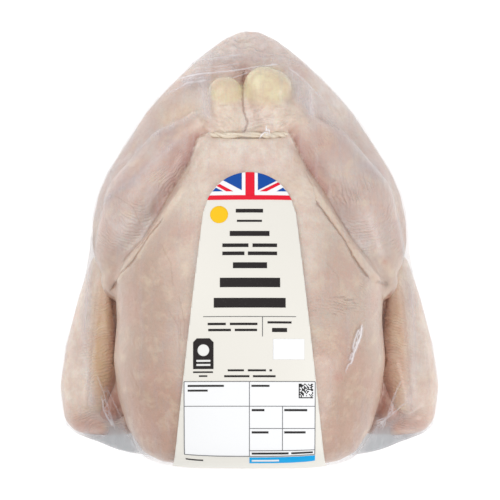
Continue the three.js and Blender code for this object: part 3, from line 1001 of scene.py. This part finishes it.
def laid_on_film(name, outlines, lift, step, thickness):
    """Flat outlines cut into a fine grid and laid on the film as one thin piece."""
    sheet = bmesh.new()
    for outline in outlines:
        sheet.faces.new([sheet.verts.new((x, y, 0)) for x, y in outline])
    corners = np.array([point for outline in outlines for point in outline])
    for axis in (0, 1):
        normal = Vector((1, 0, 0)) if axis == 0 else Vector((0, 1, 0))
        for cut in np.arange(corners[:, axis].min() + step / 2, corners[:, axis].max(), step):
            everything = sheet.verts[:] + sheet.edges[:] + sheet.faces[:]
            bmesh.ops.bisect_plane(sheet, geom=everything, dist=SAME_CUT, plane_co=normal * cut,
                                   plane_no=normal)
    for vert in sheet.verts:
        vert.co = on_label(vert.co.x, vert.co.y, lift)
    bmesh.ops.recalc_face_normals(sheet, faces=sheet.faces)
    sheet.normal_update()
    for face in sheet.faces:
        if face.normal.z < 0 and face.normal.y > LEANS_FORWARD:
            face.normal_flip()
    piece = put_in_scene(name, sheet)
    wall = piece.modifiers.new("thickness", "SOLIDIFY")
    wall.thickness = thickness * MM
    wall.offset = 1
    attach(piece, "root")
    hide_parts("label")
    return piece


def arch_points(start_x, end_x, points):
    """Places on the label's round top edge, from one side to the other."""
    return [(x, LABEL_TOP - ARCH_RADIUS + math.sqrt(ARCH_RADIUS ** 2 - x ** 2))
            for x in np.linspace(start_x, end_x, points)]


arch = arch_points(ARCH_HALF_WIDTH, -ARCH_HALF_WIDTH, ARCH_POINTS)
paper_outline = [(-LABEL_END[0], LABEL_END[1]), LABEL_END, NECK, *arch, (-NECK[0], NECK[1])]
label = laid_on_film("paper_label", [paper_outline], PAPER_LIFT, PAPER_STEP, PAPER_THICKNESS)

paper, add = new_material("label paper")
fibres = fibres_in(add, scale=1200, detail=4, relief=0.12, height=0.2)
surface = add("ShaderNodeBsdfPrincipled", {
    "Base Color": PAPER_CREAM,
    "Roughness": 0.5,
    "Normal": fibres["Normal"],
})
add("ShaderNodeOutputMaterial", {"Surface": surface.outputs["BSDF"]})
label.data.materials.append(paper)

# Print: flat fields of ink on the paper, one thin layer for each ink. They show a striped flag in the round
# top, a plain disc and badge at the sides, rows of bars, and a ruled white panel with a square of cells.
INK_THICKNESS = 0.04
INK_STEP = 0.9
INK_GAP = 0.05
INK_OVERLAY = 0.08
FIRST_INK = PAPER_LIFT + PAPER_THICKNESS + INK_GAP
SECOND_INK = FIRST_INK + INK_OVERLAY
FLAG_FOOT = 19.8
RED_FOOT = 22.3
STRIPE_TOP = 24.4
PANEL = (-33.6, -112.7, 33.8, -75.2)
RULE = 0.35


def box(left, low, right, high):
    """The corners of a rectangle on the flat label."""
    return [(left, low), (right, low), (right, high), (left, high)]


def disc(x, y, radius, points=36):
    """Places round the rim of a disc on the flat label."""
    return [(x + radius * math.cos(turn), y + radius * math.sin(turn))
            for turn in np.linspace(0, 2 * math.pi, points, endpoint=False)]


def bar(left, right, middle, height):
    """The corners of a bar across the flat label, given by its middle line."""
    return box(left, middle - height / 2, right, middle + height / 2)


flag_field = [*arch, (-22.1, FLAG_FOOT), (22.1, FLAG_FOOT)]
flag_red = [
    [(-22.05, FLAG_FOOT), (22.05, FLAG_FOOT), (20.9, RED_FOOT), (-20.9, RED_FOOT)],
    [(-2.1, RED_FOOT), (2.7, RED_FOOT), *arch_points(2.7, -2.1, 5)],
    [(-12.1, STRIPE_TOP), (-8.4, STRIPE_TOP), (-15.6, 28.6), (-17.2, 27.5)],
    [(5.3, STRIPE_TOP), (9.0, STRIPE_TOP), (16.3, 28.4), (15.0, 29.5)],
]
flag_blue = [
    [(-4.0, 25.0), *arch_points(-4.0, -13.8, 10)],
    [*arch_points(14.2, 4.4, 10), (4.4, 25.0)],
    [(-19.5, STRIPE_TOP + 0.1), (-13.8, STRIPE_TOP + 0.1), (-17.6, 26.6)],
    [(14.2, STRIPE_TOP + 0.1), (19.5, STRIPE_TOP + 0.1), (17.6, 26.6)],
]
black_bars = [
    bar(-7.1, 7.1, 13.8, 2.0), bar(-6.5, 6.5, 8.3, 1.1), bar(-10.2, 10.4, 1.5, 2.7),
    bar(-14.0, -0.5, -4.8, 1.9), bar(1.6, 14.3, -4.8, 1.9),
    bar(-14.0, -2.6, -9.1, 1.9), bar(-0.8, 14.3, -9.1, 1.9),
    bar(-8.5, 9.1, -15.4, 3.1), bar(-15.2, 15.8, -24.4, 4.9), bar(-18.3, 18.6, -34.9, 5.0),
    bar(-21.4, -12.1, -45.8, 1.2), bar(-10.0, 4.1, -45.8, 1.2), bar(-21.1, -9.5, -48.9, 1.2),
    bar(-7.5, 3.9, -48.9, 1.2), bar(9.3, 21.6, -45.0, 1.1), bar(11.6, 19.3, -48.9, 2.1),
    bar(-11.1, -2.8, -69.5, 1.0), bar(-0.8, 8.5, -69.5, 1.0), bar(10.3, 11.6, -69.5, 1.0),
    bar(-12.9, 0.0, -72.5, 1.0), bar(1.8, 13.4, -72.5, 1.0),
    bar(-28.9, -18.7, -70.4, 0.8), bar(-25.9, -21.6, -72.4, 0.8),
    bar(-33.0, -24.0, -115.7, 0.9),
]
rules = [
    bar(-23.7, 23.9, -42.0, RULE),
    bar(6.7 - RULE / 2, 6.7 + RULE / 2, -47.2, 10.0),
]
panel_rules = [
    bar(PANEL[0], PANEL[2], PANEL[3], RULE), bar(PANEL[0], PANEL[2], PANEL[1], RULE),
    bar(PANEL[0], PANEL[2], -87.8, RULE), bar(0.2, PANEL[2], -99.2, RULE), bar(0.2, PANEL[2], -110.1, RULE),
    box(PANEL[0] - RULE / 2, PANEL[1], PANEL[0] + RULE / 2, PANEL[3]),
    box(PANEL[2] - RULE / 2, PANEL[1], PANEL[2] + RULE / 2, PANEL[3]),
    box(-RULE / 2, PANEL[1], RULE / 2, PANEL[3]), box(17.0 - RULE / 2, -110.1, 17.0 + RULE / 2, -87.8),
]
panel_bars = [
    bar(-31.7, -13.1, -77.4, 1.0), bar(-31.7, -21.4, -79.8, 1.0), bar(1.0, 10.3, -77.4, 1.0),
    bar(1.2, 7.7, -89.8, 1.1), bar(17.9, 29.7, -89.8, 1.1),
    bar(1.2, 9.8, -101.2, 1.1), bar(17.9, 28.9, -101.2, 1.1),
    bar(1.2, 20.2, -111.4, 0.9), bar(21.6, 32.8, -111.4, 0.9),
]
BADGE = [(-28.9, -55.1), (-27.0, -53.1), (-20.4, -53.1), (-18.4, -55.1), (-18.4, -68.8), (-28.9, -68.8)]
CODE_CORNER = (25.3, -83.7)
CODE_CELLS = 14
CODE_CELL = 0.53
CODE_FILLED = 0.45
CODE_SEED = 14
seeded = np.random.default_rng(CODE_SEED)
cells = [
    box(CODE_CORNER[0] + column * CODE_CELL, CODE_CORNER[1] + row * CODE_CELL,
        CODE_CORNER[0] + (column + 1) * CODE_CELL, CODE_CORNER[1] + (row + 1) * CODE_CELL)
    for row in range(CODE_CELLS) for column in range(CODE_CELLS)
    if column == 0 or row == 0 or seeded.random() < CODE_FILLED
]
INK_LAYERS = {
    "print_white": ([flag_field, box(*PANEL), box(12.1, -63.9, 28.2, -53.4)], FIRST_INK, (0.90, 0.90, 0.90)),
    "print_red": (flag_red, SECOND_INK, (0.80, 0.012, 0.035)),
    "print_blue": (flag_blue, SECOND_INK, (0.006, 0.072, 0.35)),
    "print_yellow": ([disc(-15.8, 11.8, 4.7)], FIRST_INK, (0.92, 0.55, 0.012)),
    "print_sky_blue": ([box(0.0, -117.3, 34.0, -113.3)], FIRST_INK, (0.006, 0.37, 0.76)),
    "print_black": ([*black_bars, BADGE], FIRST_INK, (0.022, 0.018, 0.018)),
    "print_panel_black": ([*panel_bars, *cells], SECOND_INK, (0.03, 0.028, 0.028)),
    "print_grey": (rules, FIRST_INK, (0.13, 0.13, 0.13)),
    "print_panel_grey": (panel_rules, SECOND_INK, (0.16, 0.16, 0.17)),
    "print_on_badge": ([disc(-23.6, -59.2, 3.0), bar(-27.2, -20.0, -64.6, 1.0), bar(-27.2, -20.0, -66.7, 1.0),
                        bar(1.2, 15.3, -115.3, 1.1)], SECOND_INK, (0.84, 0.83, 0.80)),
}
for name, (outlines, lift, ink_colour) in INK_LAYERS.items():
    layer = laid_on_film(name, outlines, lift, INK_STEP, INK_THICKNESS)
    ink, add = new_material(name)
    fibres = fibres_in(add, scale=1600, detail=3, relief=0.1, height=0.2)
    worn = add("ShaderNodeMapRange", {
        "Value": fibres["Paleness"], "From Min": 0.6, "From Max": 0.9, "To Min": 0.0, "To Max": 0.06,
    })
    surface = add("ShaderNodeBsdfPrincipled", {
        "Base Color": mixed(add, worn.outputs["Result"], (*ink_colour, 1), PAPER_CREAM),
        "Roughness": 0.5,
        "Specular IOR Level": 0.15,
        "Normal": fibres["Normal"],
    })
    add("ShaderNodeOutputMaterial", {"Surface": surface.outputs["BSDF"]})
    layer.data.materials.append(ink)
